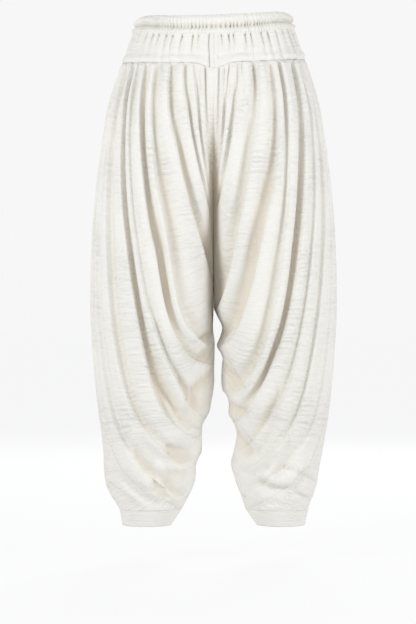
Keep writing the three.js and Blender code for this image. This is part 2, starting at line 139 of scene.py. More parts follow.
# Sections of one leg and of the body above it: height, reach to the side, reach past the middle plane
# (negative) or short of it, behind and before. All lengths are in millimetres.
section_columns = ("z", "outer", "inner_left", "inner_right", "back", "front")
section_rows = (
    (30, 149, -149, -149, 98, 94),
    (-5, 155, -155, -155, 102, 98),
    (-36, 166, -166, -166, 109, 104),
    (-79, 182, -148, -148, 121, 113),
    (-165, 208, -92, -92, 136, 123),
    (-282, 225, -42, -42, 141, 128),
    (-360, 233, -22, -22, 140, 128),
    (-438, 238, -9, -9, 135, 126),
    (-516, 240, -2.4, -2.4, 129, 122),
    (-548, 240, -0.5, -0.5, 127, 121),
    (-580, 239, 0.3, 2, 124, 119),
    (-672, 233, 2, 12, 114, 112),
    (-750, 225, 13, 26, 104, 104),
    (-828, 213, 28, 36, 92, 94),
    (-896, 202, 39, 43, 79, 83),
    (-941, 185, 61, 62, 63, 68),
    (-973, 178, 82, 83, 50, 55),
)

# One row for the edge of each pleat, from the middle to the side. back and front: where it leaves the yoke,
# as a share of the way. end: the height at which it meets the inseam, or to_cuff, how far round the ankle
# band it ends. drift, bend, hook, sag: how it leans, turns in and hangs. top, mid, low: the depth of the
# trough beside it.
fold_columns = ("back", "front", "end", "to_cuff", "drift", "bend", "hook", "sag", "top", "mid", "low")
left_folds = (
    (0.0, 0.0, -290, 0, 0.3, 2, 6, 0, 3, 3, 0),
    (0.06, 0.07, -326, 0, 0.5, 2, 8, 0, 5, 6, 0),
    (0.12, 0.13, -360, 0, 0.7, 2, 8, 0, 6, 7, 2),
    (0.18, 0.2, -396, 0, 0.85, 2, 8, 0, 5, 12, 10),
    (0.28, 0.3, -508, 0, 0.8, 2, 9, 0, 5, 11, 5),
    (0.4, 0.41, -622, 0, 0.2, 1, 18, 4, 7, 14, 15),
    (0.49, 0.5, -658, 0, 0.22, 1, 17, 6, 5, 5, 9),
    (0.57, 0.58, -764, 0, 0.2, 1, 8, 6, 7, 14, 13),
    (0.65, 0.67, -794, 0, 0.25, 1, 20, 12, 6, 9, 9),
    (0.76, 0.77, -838, 0, 0.12, 1, 11, 30, 6, 8, 10),
    (0.86, 0.86, -903, 0, 0.08, 1, 10, 24, 5, 6, 3),
    (0.92, 0.91, CUFF_TOP, 0, 0, 1, 9, 0, 4, 2, 0),
    (0.95, 0.95, CUFF_TOP, 0.33, 0, 1, 10, 0, 3, 1.5, 0),
    (0.98, 0.98, CUFF_TOP, 0.66, 0, 1, 10, 0, 2, 1, 0),
    (1.0, 1.0, CUFF_TOP, 1, 0, 1, 5, 0, 0, 0, 0),
)
right_folds = (
    (0.0, 0.0, -262, 0, 0.3, 2, 6, 0, 3, 3, 0),
    (0.04, 0.05, -292, 0, 0.5, 2, 8, 0, 4, 5, 0),
    (0.09, 0.11, -320, 0, 0.7, 2, 8, 0, 5, 8, 4),
    (0.15, 0.17, -374, 0, 0.7, 2, 8, 0, 5, 10, 8),
    (0.27, 0.28, -560, 0, 0.5, 2, 12, 0, 5, 13, 14),
    (0.41, 0.4, -628, 0, 0.3, 2, 14, 4, 6, 8, 11),
    (0.48, 0.49, -720, 0, 0.05, 1, 11, 6, 6, 15, 13),
    (0.64, 0.63, -768, 0, 0.22, 1, 9, 8, 5, 6, 8),
    (0.73, 0.72, -818, 0, 0.22, 1, 10, 14, 6, 9, 9),
    (0.83, 0.81, -862, 0, 0.22, 1, 11, 18, 5, 6, 7),
    (0.89, 0.88, -906, 0, 0.12, 1, 10, 16, 4, 5, 2),
    (0.93, 0.93, CUFF_TOP, 0, 0, 1, 9, 0, 4, 2, 0),
    (0.96, 0.96, CUFF_TOP, 0.33, 0, 1, 10, 0, 3, 1.5, 0),
    (0.98, 0.98, CUFF_TOP, 0.66, 0, 1, 10, 0, 2, 1, 0),
    (1.0, 1.0, CUFF_TOP, 1, 0, 1, 5, 0, 0, 0, 0),
)
# One pleat, across: a broad rounded ridge, then a narrow valley just before the crisp edge of the next one.
pleat_across = (0, 0.05, 0.3, 0.47, 0.59, 0.69, 0.8, 0.89, 0.95, 1)
pleat_drop = (0.14, 0.0, 0.03, 0.13, 0.4, 0.82, 0.99, 1, 0.66, 0.14)
# The floor of a valley lies between these shares of its pleat. Beside the main folds it opens wider on its
# way down: the number of the pleat, counted from the middle, and the share where its floor then begins.
VALLEY_START = 0.69
VALLEY_END = 0.89
wide_valleys = {LEFT: ((5, 0.36), (7, 0.42)), RIGHT: ((4, 0.5), (6, 0.58))}
valley_opens = ((0, 0.3, 0.7, 1), (0, 0.15, 1, 1))
columns_across = (0, 0.04, 0.12, 0.24, 0.37, 0.49, 0.6, 0.69, 0.77, 0.85, 0.91, 0.955)
SAG_LOWEST = 0.35
PLEAT_STEEPEST = 0.75
# On its way down a pleat gets softer: how steep it may be there, as a share of the steepest.
steeper_way = (0, 0.7, 0.88, 1)
steeper_share = (1, 1, 0.6, 0.25)
# How deep the pleats are beside the depths in the table, from the yoke to the inseam.
pleat_way = (0, 0.015, 0.06, 0.2, 0.5, 0.8, 0.93, 0.98, 1)
pleat_deepening = (0.6, 1.2, 1.45, 1.4, 1.45, 1.5, 1.5, 1.3, 0.9)

# Towards the side the pleats are softer: share of the way there, and how much of that depth they keep.
softer_places = (0, 0.6, 0.72, 0.85, 1)
softer_depths = (1, 1, 0.7, 0.5, 0.4)

# Where the swags end they push the inseam away from the middle, or pull it there: height and how far.
left_inseam = (
    (-973, 0), (-941, 0), (-914, 1), (-883, -1), (-851, 3), (-832, -5), (-795, 1), (-781, 3),
    (-748, -6), (-707, -6), (-666, -3), (-620, -3), (-588, 1), (-560, 0),
)
right_inseam = (
    (-973, 0), (-941, 0), (-914, 4), (-883, 0), (-855, -5), (-832, 2), (-791, 13), (-772, 8),
    (-758, 2), (-735, 6), (-721, 4), (-711, -2), (-660, 6), (-647, 9), (-625, 0), (-605, 9),
    (-588, 14), (-572, 8), (-552, 0),
)
INSEAM_REACH = 45
INSEAM_MERGE = 0.05
# How much fuller the leg is low down at the side than its section: height and how far. It fades round the
# leg.
left_calf = ((-973, 0), (-950, 3), (-925, 7), (-900, 9), (-870, 7), (-835, 3), (-790, 0))
right_calf = ((-973, 0), (-930, 0), (-905, -2), (-880, -2), (-850, -1), (-800, 0))
CALF_SHARE = 0.13

# The valley between the legs, behind and before: height and how deep it is at the middle seam.
valley_z = (-620, -575, -470, -350, -280, -200, -130, -90)
valley_depth = (0, 16, 34, 36, 24, 10, 5, 0)
VALLEY_HALF_WIDTH = 9.5
# Near a seam and at the hem the folds fade out: their reach from the seam, and the power of the way down. The
# first row lies this far under the yoke.
SEAM_REACH = 7
HEM_HOLD = 40
SEWN_UNDER = 2.4
# A pocket: how soft its first edge and its other edges are, how fast it gets shallower, and how much its
# depth counts for the painted shade of the material.
POCKET_LIP = 3.5
POCKET_BORDER = 9.0
POCKET_LENGTH = 40.0
POCKET_PAINTED_SHADE = 1.6

# Short tucks that the yoke seam takes up between the long pleats. place: share of the way from the middle
# to the side, lean: how far it drifts on its way, both as that share, then its length, depth and half-width
# in millimetres.
tuck_rows = (
    (0.02, 0.0, 230, 5, 3), (0.05, 0.0, 190, 4.5, 3), (0.075, 0.01, 150, 4, 3), (0.09, 0.0, 95, 4, 3.5),
    (0.15, -0.01, 150, 4, 4), (0.23, 0.02, 110, 5, 4.5),
    (0.26, 0.0, 60, 3, 3), (0.34, 0.01, 140, 5, 5), (0.37, -0.01, 70, 3.5, 3.5), (0.44, 0.01, 175, 5, 5),
    (0.53, 0.0, 130, 5, 4.5), (0.61, 0.01, 190, 5, 5), (0.69, -0.01, 100, 4, 4), (0.72, 0.01, 160, 5, 5),
    (0.8, 0.0, 210, 5, 5), (0.83, 0.01, 90, 4, 4), (0.9, 0.01, 180, 4, 5), (0.96, 0.0, 150, 4, 5),
)
# The tucks of the right leg and of the front lie a little further on. Each is deeper than its row says, and
# opens from a share of its depth at the seam.
RIGHT_TUCKS_ON = 0.012
FRONT_TUCKS_ON = 0.008
TUCK_DEEPENING = 1.6
TUCK_AT_SEAM = 0.45
TUCK_OPENS_OVER = 12

# The seam under the yoke, its blunt point in the middle behind, and the tilt, which fades down the legs.
yoke_seam_heights = {"back": -86, "side": -72, "front": -84}
yoke_seam_point = {"drop": 11, "half_width": 26}
hip_tilt = {"slope": 0.03, "fades_over": 480}


def smooth_curve(xs, ys):
    """A cubic through rising xs whose slope at a point is the harmonic mean of its neighbours', so that it
    never overshoots. It is level past its ends."""
    xs = np.asarray(xs, float)
    ys = np.asarray(ys, float)
    slopes = np.diff(ys) / np.diff(xs)
    before, after = slopes[:-1], slopes[1:]
    same_way = before * after > 0
    inner = np.where(same_way, 2 * before * after / np.where(same_way, before + after, 1), 0)
    tangents = np.concatenate([slopes[:1], inner, slopes[-1:]])

    def curve(x):
        x = np.asarray(x, float)
        i = np.clip(np.searchsorted(xs, x, side="right") - 1, 0, len(xs) - 2)
        width = xs[i + 1] - xs[i]
        s = np.clip((x - xs[i]) / width, 0, 1)
        rise = s * s * (3 - 2 * s)
        lean = width * s * (1 - s) * (tangents[i] * (1 - s) - tangents[i + 1] * s)
        return ys[i] * (1 - rise) + ys[i + 1] * rise + lean

    return curve


def column_curves(columns, rows, places):
    """Each column of a table as a smooth curve over its rows' places."""
    order = np.argsort(places)
    table = np.array(rows, float)[order]
    return {name: smooth_curve(np.sort(places), table[:, i]) for i, name in enumerate(columns)}


section = column_curves(section_columns, section_rows, [row[0] for row in section_rows])
pleat_profile = smooth_curve(pleat_across, pleat_drop)


def signed_power(value, power):
    """The value's size to that power, with the value's own sign."""
    return np.sign(value) * np.abs(value) ** power


def section_at(side, z):
    """Middle, half-width, centre of the depth and half-depth of a leg's section at height z."""
    outer = section["outer"](z)
    inner = section["inner_left" if side == LEFT else "inner_right"](z)
    back, front = section["back"](z), section["front"](z)
    return (outer + inner) / 2, (outer - inner) / 2, (front - back) / 2, (front + back) / 2


def section_point(side, z, angle):
    """A point of a squared ellipse: its two half-axes times the cosine and sine to the power 2 /
    squareness. The angle starts at the inner side and turns by the back."""
    middle, half, centre, deep = section_at(side, z)
    x = side * (middle - half * signed_power(np.cos(angle), 2 / SQUARENESS))
    y = centre - deep * signed_power(np.sin(angle), 2 / SQUARENESS)
    return np.stack(np.broadcast_arrays(x, y, z), axis=-1)


# Away from the seam, from this height down, the section starts at an eased angle, in radians. Nearer the
# seam than this share of the way round, it starts at its true one.
CLOSING_TOP = -438
CLOSING_SHARE = 0.05
closing_angle = smooth_curve(
    (-800, -730, -650, -580, -516, -470, -438), (0, 0.012, 0.06, 0.14, 0.25, 0.34, 0.4033))


def outside(side, turn, z):
    """The smooth outside: turn runs from 0 at the middle seam behind, past the side at 0.5, to 1 at the
    seam before. Above the crotch the section is cut off at the middle plane, where the cosine reaches
    middle over half-width."""
    middle, half, _, _ = section_at(side, z)
    first = np.arccos(np.clip(signed_power(np.minimum(1, middle / half), SQUARENESS / 2), -1, 1))
    # Away from the seam the folds slide on past the crotch, instead of turning where the section closes.
    eased = np.where(z > CLOSING_TOP, first, closing_angle(z))
    from_seam = np.clip(np.minimum(turn, 1 - turn), 0, 1) / CLOSING_SHARE
    kept = np.exp(-(from_seam ** 2))
    angle = first + turn * 2 * (np.pi - first)
    slid = eased + turn * 2 * (np.pi - eased)
    return section_point(side, z, slid + (angle - slid) * kept)


def outwards(side, turn, z):
    """The outward normal of that outside: the cross product of two short steps, around and upwards."""
    around = outside(side, turn + 0.004, z) - outside(side, turn - 0.004, z)
    upwards = outside(side, turn, z + 1.5) - outside(side, turn, z - 1.5)
    normal = side * np.cross(around, upwards)
    return normal / np.linalg.norm(normal, axis=-1, keepdims=True)


def ring_height(heights, turn):
    """A height that runs from behind, past the side, to the front, by the cosine of half a turn to the
    power 1.6."""
    swing = np.cos(np.pi * np.clip(turn, 0, 1))
    end = np.where(swing > 0, heights["back"], heights["front"])
    return heights["side"] + (end - heights["side"]) * np.abs(swing) ** 1.6


def yoke_seam(side, turn):
    """The height of the seam under the yoke. It comes down to a blunt point, a bell curve, in the middle
    behind."""
    z = ring_height(yoke_seam_heights, turn)
    x = outside(side, turn, z)[..., 0]
    point = yoke_seam_point["drop"] * np.exp(-(x / yoke_seam_point["half_width"]) ** 2)
    return z - np.where(turn < 0.5, point, 0)


def in_stance(points):
    """The garment tilts up towards its right side: z grows with x, by less and less down the legs."""
    weight = np.clip(1 + points[..., 2] / hip_tilt["fades_over"], 0, 1)
    lifted = points.copy()
    lifted[..., 2] += hip_tilt["slope"] * points[..., 0] * weight * weight
    return lifted


def fold_line(side, folds, face, fold, down):
    """Where the line of a fold is, at a share of the way down: how far round the leg, and how high. It
    keeps its share of the width, less its drift, and turns in at the end as a root of one minus a power of
    the way down."""
    to_cuff = folds["to_cuff"](fold)
    start = folds[face](fold)
    turn_in = (1 - down ** folds["hook"](fold)) ** (0.5 + to_cuff)
    share = (1 - folds["drift"](fold) * down ** folds["bend"](fold)) * turn_in
    from_seam = (to_cuff + (start - to_cuff) * share) / 2
    top = yoke_seam(side, start / 2 if face == "back" else 1 - start / 2)
    hang = share / SAG_LOWEST * np.exp(1 - share / SAG_LOWEST)
    z = top + (folds["end"](fold) - top) * down - folds["sag"](fold) * hang * down ** 4
    return (from_seam if face == "back" else 1 - from_seam), z


# A crease. Its path is taken at this many points. Across it are the width of the lip's side and of the
# broad side, then the lip's height, place and reach. The height is a share of the depth, and the others
# are shares of the half-width. Then come the power of its fade at the ends and how much it is deepened.
CREASE_STEPS = 28
CREASE_LIP_SIDE = 0.45
CREASE_BROAD_SIDE = 1.8
LIP_HEIGHT = 0.22
LIP_PLACE = 1.2
LIP_REACH = 0.6
CREASE_FADE_POWER = 0.6
CREASE_DEEPENING = 1.35


def press_crease(points, normals, path, depth, half_width, lip_side):
    """Press a trough into the points along a path of (x, z) seen from behind or before, in millimetres.
    Across it is a bell curve, steep on the side of its lip and broad on the other. It fades at its ends.
    lip_side is 1 where the lip is on the left of the path's way, and -1 where it is on the right. It moves
    the points where they stand and returns the depth of the trough at each, for the painted shade."""
    knots = np.array(path, float)
    steps = np.linspace(0, 1, CREASE_STEPS)
    places = np.linspace(0, 1, len(knots))
    line = np.stack([smooth_curve(places, knots[:, axis])(steps) for axis in (0, 1)], axis=-1)
    flat = points[..., [0, 2]]
    near = np.abs(flat - line.mean(axis=0)).max(axis=-1) < np.ptp(line, axis=0).max() / 2 + 6 * half_width
    offsets = flat[near][:, None, :] - line
    distances = np.linalg.norm(offsets, axis=-1)
    nearest = distances.argmin(axis=-1)
    rows = np.arange(len(nearest))
    distance = distances[rows, nearest]
    way = np.gradient(line, axis=0)[nearest]
    offset = offsets[rows, nearest]
    lip = (way[:, 0] * offset[:, 1] - way[:, 1] * offset[:, 0]) * lip_side > 0
    fade = np.sin(np.pi * np.clip(steps[nearest], 0.03, 0.97)) ** CREASE_FADE_POWER
    width = np.where(lip, CREASE_LIP_SIDE * half_width, CREASE_BROAD_SIDE * half_width)
    trough = np.exp(-(distance / width) ** 2)
    ridge = np.exp(-((distance - LIP_PLACE * half_width) / (LIP_REACH * half_width)) ** 2)
    raised = np.where(lip, LIP_HEIGHT * ridge, 0)
    points[near] += normals[near] * (CREASE_DEEPENING * depth * fade * (raised - trough))[:, None]
    pressed = np.zeros(points.shape[:2])
    pressed[near] = depth * fade * trough
    return pressed


def press_pocket(points, normals, corners, depth):
    """Press a pocket into the points inside a convex outline of (x, z) corners, in millimetres. It is
    deepest under its first edge, the fold that hangs over it, and gets shallower away from there by an
    exponential. It moves the points where they stand and returns how far each was moved."""
    corners = np.array(corners, float)
    edges = np.roll(corners, -1, axis=0) - corners
    area = (corners[:, 0] * np.roll(corners[:, 1], -1) - corners[:, 1] * np.roll(corners[:, 0], -1)).sum()
    offsets = points[..., None, [0, 2]] - corners
    inside = (edges[:, 0] * offsets[..., 1] - edges[:, 1] * offsets[..., 0]) * np.sign(area)
    inside = inside / np.linalg.norm(edges, axis=1)
    borders = np.full(len(corners), POCKET_BORDER)
    borders[0] = POCKET_LIP
    share = np.clip(inside / borders + 0.5, 0, 1)
    share = (share * share * (3 - 2 * share)).min(axis=-1)
    pressed = depth * share * np.exp(-np.maximum(inside[..., 0], 0) / POCKET_LENGTH)
    points -= normals * pressed[..., None]
    return pressed


def panel_points(side, rows, face, fold, down):
    """One pleated panel: along each fold line, the smooth outside less the depth of the pleat times its
    profile. Returns the points and how deep each one lies in a fold, which sets the painted shade of the
    material."""
    folds = column_curves(fold_columns, rows, np.arange(len(rows)))
    turn, z = fold_line(side, folds, face, fold, down)
    edge_turn, edge_z = fold_line(side, folds, face, np.arange(len(rows))[None, :], down)
    edges = outside(side, edge_turn, edge_z)
    widths = np.linalg.norm(np.diff(edges, axis=1), axis=-1)
    table = dict(zip(fold_columns, np.array(rows, float).T))
    depths = np.concatenate([
        smooth_curve((0, 0.5, 1), (table["top"][i], table["mid"][i], table["low"][i]))(down)
        for i in range(len(rows) - 1)], axis=1)
    depths = depths * smooth_curve(pleat_way, pleat_deepening)(down)
    depths = depths * smooth_curve(softer_places, softer_depths)(table[face][:-1])
    depths = np.minimum(depths, PLEAT_STEEPEST * widths * smooth_curve(steeper_way, steeper_share)(down))
    pleat = np.clip(np.floor(fold).astype(int), 0, len(rows) - 2)[0]
    begins = np.full(len(rows) - 1, VALLEY_START)
    for number, share in wide_valleys[side]:
        begins[number] = share
    begins = VALLEY_START + (begins[pleat] - VALLEY_START) * smooth_curve(*valley_opens)(down)
    across = fold - pleat
    floor = VALLEY_START + (across - begins) / (VALLEY_END - begins) * (VALLEY_END - VALLEY_START)
    past_ridge = np.where(across < VALLEY_END, floor, across)
    opened = np.where(across < begins, across / begins * VALLEY_START, past_ridge)
    drop = depths[:, pleat] * pleat_profile(opened)
    drop = np.where(down == 0, SEWN_UNDER, drop + tuck_drop(side, face, turn, z))
    # The pleats fade out at the seams, so that the panels stay joined there.
    smooth = outside(side, turn, z)
    from_seam = 2 * np.minimum(turn, 1 - turn) * section["outer"](z)
    free = (1 - np.exp(-(from_seam / SEAM_REACH) ** 2)) * (1 - down ** HEM_HOLD)
    normals = outwards(side, turn, z) * free[..., None]
    points = smooth - normals * drop[..., None]
    # The valley between the legs goes straight in along Y, from behind and from before. It does not fade
    # out at the seams: round the crotch it pushes the inner edges of the two panels past one another.
    valley = smooth_curve(valley_z, valley_depth)(z) * np.exp(-(smooth[..., 0] / VALLEY_HALF_WIDTH) ** 2)
    points[..., 1] += valley * (1 if face == "back" else -1)
    kinks = np.array(left_inseam if side == LEFT else right_inseam, float)
    kink = smooth_curve(kinks[:, 0], kinks[:, 1])(z) * np.exp(-(from_seam / INSEAM_REACH) ** 2)
    calf = np.array(left_calf if side == LEFT else right_calf, float)
    fuller = smooth_curve(calf[:, 0], calf[:, 1])(z) * np.exp(-((turn - 0.5) / CALF_SHARE) ** 2)
    points[..., 0] += side * (kink + fuller * (1 - down ** HEM_HOLD))
    # How deep each point lies sets the painted shade; under a pocket it counts for more than its depth, for
    # the fold that hangs over it.
    fold_depth = drop * free + valley
    for crease in creases[(side, face)]:
        fold_depth += press_crease(points, normals, *crease)
    for corners, depth in pockets[(side, face)]:
        fold_depth += POCKET_PAINTED_SHADE * press_pocket(points, normals, corners, depth)
    return points, fold_depth


def tuck_drop(side, face, turn, z):
    """How deep the short tucks below the yoke seam are at each point: bell curves that fade on their way
    down."""
    half_girth = 2 * section["outer"](z)
    share = 2 * (turn if face == "back" else 1 - turn)
    below = yoke_seam(side, turn) - z
    drop = np.zeros_like(z)
    for place, lean, length, depth, half_width in tuck_rows:
        place = place + (RIGHT_TUCKS_ON if side == RIGHT else 0) + (FRONT_TUCKS_ON if face == "front" else 0)
        along = np.clip(below / length, 0, 1)
        across = (share - place - lean * along) * half_girth / 2
        width = half_width * (0.45 + 0.9 * along)
        opened = np.clip(TUCK_AT_SEAM + below / TUCK_OPENS_OVER, TUCK_AT_SEAM, 1)
        drop = drop + TUCK_DEEPENING * depth * opened * (1 - along) ** 0.8 * np.exp(-(across / width) ** 2)
    return drop


def add_sheet(name, grid, cloth_map, fold_depth, material, facing=1, around=False, merge=0.0):
    """A sheet whose points are grid[row, column], in millimetres, joined by four-sided faces that face
    outwards. The cloth map gives each point's place on the flat cloth, and fold_depth how deep it lies in a
    fold, in millimetres. around joins the last column to the first."""
    rows, columns = grid.shape[:2]
    right = np.arange(columns if around else columns - 1)
    row, column = np.meshgrid(np.arange(rows - 1), right, indexing="ij")
    beyond = (column + 1) % columns
    corners = np.stack([row * columns + column, (row + 1) * columns + column,
                        (row + 1) * columns + beyond, row * columns + beyond], axis=-1).reshape(-1, 4)
    if facing < 0:
        corners = corners[:, ::-1]
    mesh = bpy.data.meshes.new(name)
    mesh.from_pydata((grid.reshape(-1, 3) * MM).tolist(), [], corners.tolist())
    depths = mesh.attributes.new("fold_depth", "FLOAT", "POINT")
    depths.data.foreach_set("value", fold_depth.astype(np.float32).reshape(-1))
    layer = mesh.uv_layers.new(name="cloth")
    loop_map = cloth_map.reshape(-1, 2)[corners.reshape(-1)].copy()
    if around:
        wraps = (beyond == 0).reshape(-1)
        step = loop_map.reshape(-1, 4, 2)
        far = (2, 3) if facing > 0 else (1, 0)
        girth = np.ptp(cloth_map[..., 0]) * columns / (columns - 1)
        for corner in far:
            step[wraps, corner, 0] += girth
        loop_map = step.reshape(-1, 2)
    layer.data.foreach_set("uv", loop_map.astype(np.float32).reshape(-1))
    mesh.polygons.foreach_set("use_smooth", np.ones(len(mesh.polygons), bool))
    mesh.materials.append(material)
    sheet = bpy.data.objects.new(name, mesh)
    bpy.context.collection.objects.link(sheet)
    if merge:
        weld = sheet.modifiers.new("joined_at_inseam", "WELD")
        weld.merge_threshold = merge * MM
    wall = sheet.modifiers.new("cloth_thickness", "SOLIDIFY")
    wall.thickness = CLOTH_THICKNESS * MM
    wall.offset = -1
    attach(sheet, "root")
    return sheet


# Creases: a path of (x, z) seen from behind, its depth and half-width, and the side of it that its lip is on.
creases = {
    (LEFT, "back"): [
        [((-52, -561), (-39, -586), (-23, -606), (-9, -618)), 9, 6, -1],
        [((-30, -611), (-16, -601), (-4, -594)), 9, 6, 1],
        [((-64, -626), (-49, -640), (-32, -648), (-17, -656), (-4, -658)), 12, 7, -1],
        [((-34, -650), (-20, -636), (-5, -618)), 10, 7, 1],
        [((-74, -668), (-60, -700), (-48, -728), (-42, -755), (-33, -768), (-19, -765)), 8, 7, -1],
        [((-44, -704), (-28, -696), (-14, -682), (-2, -667)), 9, 8, 1],
        [((-112, -690), (-84, -732), (-60, -768), (-42, -784), (-22, -780)), 8, 9, -1],
        [((-150, -778), (-126, -828), (-96, -848), (-58, -854), (-30, -838)), 9, 8, -1],
        [((-182, -876), (-155, -902), (-127, -924), (-92, -932), (-58, -928)), 8, 8, -1],
        [((-104, -872), (-88, -896), (-66, -914), (-46, -914)), 11, 7, -1],
        [((-134, -932), (-118, -937), (-100, -933)), 4, 6, -1],
        [((-172, -932), (-160, -932), (-148, -936)), 4, 6, -1],
    ],
    (RIGHT, "back"): [
        [((35, -586), (27, -599), (15, -616), (8, -627)), 9, 6, 1],
        [((17, -654), (35, -671), (50, -692)), 11, 7, 1],
        [((70, -696), (50, -708), (35, -716), (22, -721)), 9, 6, 1],
        [((26, -727), (43, -739), (58, -750)), 9, 6, 1],
        [((76, -744), (55, -756), (35, -768)), 8, 6, 1],
        [((38, -771), (60, -797), (77, -819)), 7, 7, 1],
        [((96, -816), (76, -836), (54, -844), (38, -838)), 7, 9, 1],
        [((130, -836), (100, -860), (70, -872), (42, -862)), 9, 8, 1],
        [((150, -862), (126, -872), (106, -866)), 5, 7, 1],
        [((122, -724), (114, -768), (98, -806), (78, -832)), 8, 15, 1],
        [((76, -872), (98, -888), (124, -898), (146, -896)), 9, 9, 1],
        [((146, -800), (136, -838), (112, -866)), 6, 12, -1],
        [((194, -852), (176, -866), (160, -884), (152, -902)), 6, 8, -1],
        [((98, -933), (112, -929), (130, -931)), 5, 6, -1],
        [((122, -850), (160, -864), (190, -880), (197, -892)), 4, 3, 1],
        [((150, -900), (170, -912), (190, -922)), 5, 5, 1],
        [((160, -930), (172, -926), (184, -930)), 3, 5, -1],
    ],
    (LEFT, "front"): [
        [((-70, -598), (-52, -628), (-34, -646), (-8, -652)), 10, 7, -1],
        [((-96, -640), (-72, -696), (-50, -738), (-24, -752)), 10, 8, -1],
        [((-46, -694), (-26, -684), (-6, -668)), 8, 7, 1],
        [((-120, -742), (-88, -788), (-56, -808), (-26, -800)), 8, 8, -1],
        [((-156, -822), (-118, -856), (-80, -868), (-38, -852)), 8, 8, -1],
        [((-112, -884), (-90, -908), (-66, -918), (-46, -914)), 10, 7, -1],
        [((-172, -906), (-142, -920), (-108, -932)), 5, 7, -1],
    ],
    (RIGHT, "front"): [
        [((64, -604), (48, -632), (30, -650), (10, -656)), 10, 7, 1],
        [((102, -648), (78, -700), (54, -736), (26, -748)), 10, 8, 1],
        [((20, -676), (36, -690), (52, -708)), 8, 7, 1],
        [((124, -748), (92, -792), (60, -810), (34, -804)), 8, 8, 1],
        [((152, -818), (116, -854), (82, -868), (46, -860)), 8, 8, 1],
        [((110, -882), (92, -906), (70, -918), (52, -914)), 10, 7, 1],
        [((170, -904), (144, -918), (112, -932)), 5, 7, 1],
    ],
}

# Pockets under the ends of the swags: their corners (x, z) seen from behind, the hanging edge first, and
# their depth.
pockets = {
    (LEFT, "back"): [
        [((-26, -608), (-3, -594), (-9, -623)), 13],
        [((-33, -647), (-8, -625), (0, -630), (0, -650), (-16, -657)), 11],
        [((-43, -704), (-2, -664), (-1, -700), (-6, -730), (-20, -766), (-38, -762), (-44, -736)), 11],
        [((-90, -812), (-44, -818), (-42, -842), (-62, -856), (-88, -842)), 9],
        [((-90, -860), (-50, -862), (-50, -882), (-70, -894), (-90, -884)), 9],
        [((-116, -880), (-88, -902), (-82, -916), (-100, -920), (-116, -902)), 13],
        [((-150, -800), (-126, -832), (-104, -884), (-122, -884), (-152, -840)), 7],
        [((-206, -886), (-176, -904), (-160, -918), (-178, -922), (-204, -906)), 7],
    ],
    (RIGHT, "back"): [
        [((30, -592), (9, -622), (14, -600)), 12],
        [((18, -655), (49, -682), (51, -696), (30, -715), (17, -716)), 11],
        [((24, -725), (56, -747), (51, -757), (32, -766), (24, -752)), 10],
        [((42, -779), (76, -828), (66, -838), (44, -834), (38, -806)), 9],
    ],
    (LEFT, "front"): [
        [((-36, -650), (-8, -628), (0, -634), (0, -656), (-16, -662)), 9],
        [((-44, -716), (-4, -684), (-2, -712), (-20, -756), (-40, -750)), 9],
    ],
    (RIGHT, "front"): [
        [((10, -634), (38, -656), (30, -668), (10, -664)), 9],
        [((14, -690), (50, -714), (46, -738), (24, -744), (14, -726)), 9],
    ],
}

ROWS_DOWN = 140
ROW_CROWDING = 1.45
down_rows = (1 - (1 - np.linspace(0, 1, ROWS_DOWN)) ** ROW_CROWDING)[:, None]

for leg_name, side, fold_rows in (("left", LEFT, left_folds), ("right", RIGHT, right_folds)):
    last_fold = len(fold_rows) - 1
    within = np.add.outer(np.arange(last_fold), columns_across).reshape(-1)
    fold_places = np.append(within, last_fold)[None, :]
    back_panel, back_depth = panel_points(side, fold_rows, "back", fold_places, down_rows)
    front_panel, front_depth = panel_points(side, fold_rows, "front", fold_places, down_rows)
    fold_depth = np.concatenate([back_depth, front_depth[:, -2::-1]], axis=1)
    leg_grid = in_stance(np.concatenate([back_panel, front_panel[:, -2::-1]], axis=1))
    steps_down = np.linalg.norm(np.diff(leg_grid, axis=0), axis=-1)
    along = np.concatenate([np.zeros((1, leg_grid.shape[1])), np.cumsum(steps_down, axis=0)]) * MM
    steps_round = np.linalg.norm(np.diff(leg_grid, axis=1), axis=-1).mean(axis=0)
    across = np.broadcast_to(np.concatenate([[0], np.cumsum(steps_round)]) * MM, along.shape)
    leg_map = np.stack([across, along], axis=-1)
    leg = add_sheet(f"leg_{leg_name}", leg_grid, leg_map, fold_depth, leg_cloth, side, merge=INSEAM_MERGE)
    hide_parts(f"leg_{leg_name}_back", f"leg_{leg_name}_front")

# The yoke.
# Two halves of a fitted band round the hips. The elastic gathers their top edge into puckers that open out
# and flatten towards the seam, which is topstitched. A plain strip lies beside the middle seam behind.
band_bottom_heights = {"back": -33, "side": -13, "front": -24}
band_top_heights = {"back": 8, "side": 22, "front": 16}
OVERLAP = 4
GATHERS_PER_HALF = 26
YOKE_ROWS = 36
YOKE_COLUMNS = 390
STRIP_WIDTH = 16
STITCH_PITCH = 3.0
TOPSTITCH_ABOVE_SEAM = 7
# Down the yoke: its height as the lines along it are counted, the puffed ridge over the seam, the groove
# above that and the turned-in edge, in millimetres. Places and reaches are shares of the way down. The
# painted shade is how much this relief counts for the darker, yellower colour painted into a fold.
YOKE_HEIGHT = 45
RIDGE_PUFF = 2.8
RIDGE_DOWN = 0.86
RIDGE_REACH = 0.1
GROOVE_ABOVE_SEAM = 14
GROOVE_DEPTH = 1.3
GROOVE_HALF_WIDTH = 2.5
EDGE_TURNED_IN = 2.0
EDGE_REACH = 0.035
strip_edge_depth = {LEFT: 2.6, RIGHT: 1.6}
YOKE_PAINTED_SHADE = 1.6


def stitch_dents(along, across, depth):
    """A stitched line: a groove whose depth rises and falls with each stitch, as a bell curve across it."""
    return depth * (0.65 + 0.35 * np.cos(2 * np.pi * along / STITCH_PITCH)) * np.exp(-(across / 1.1) ** 2)


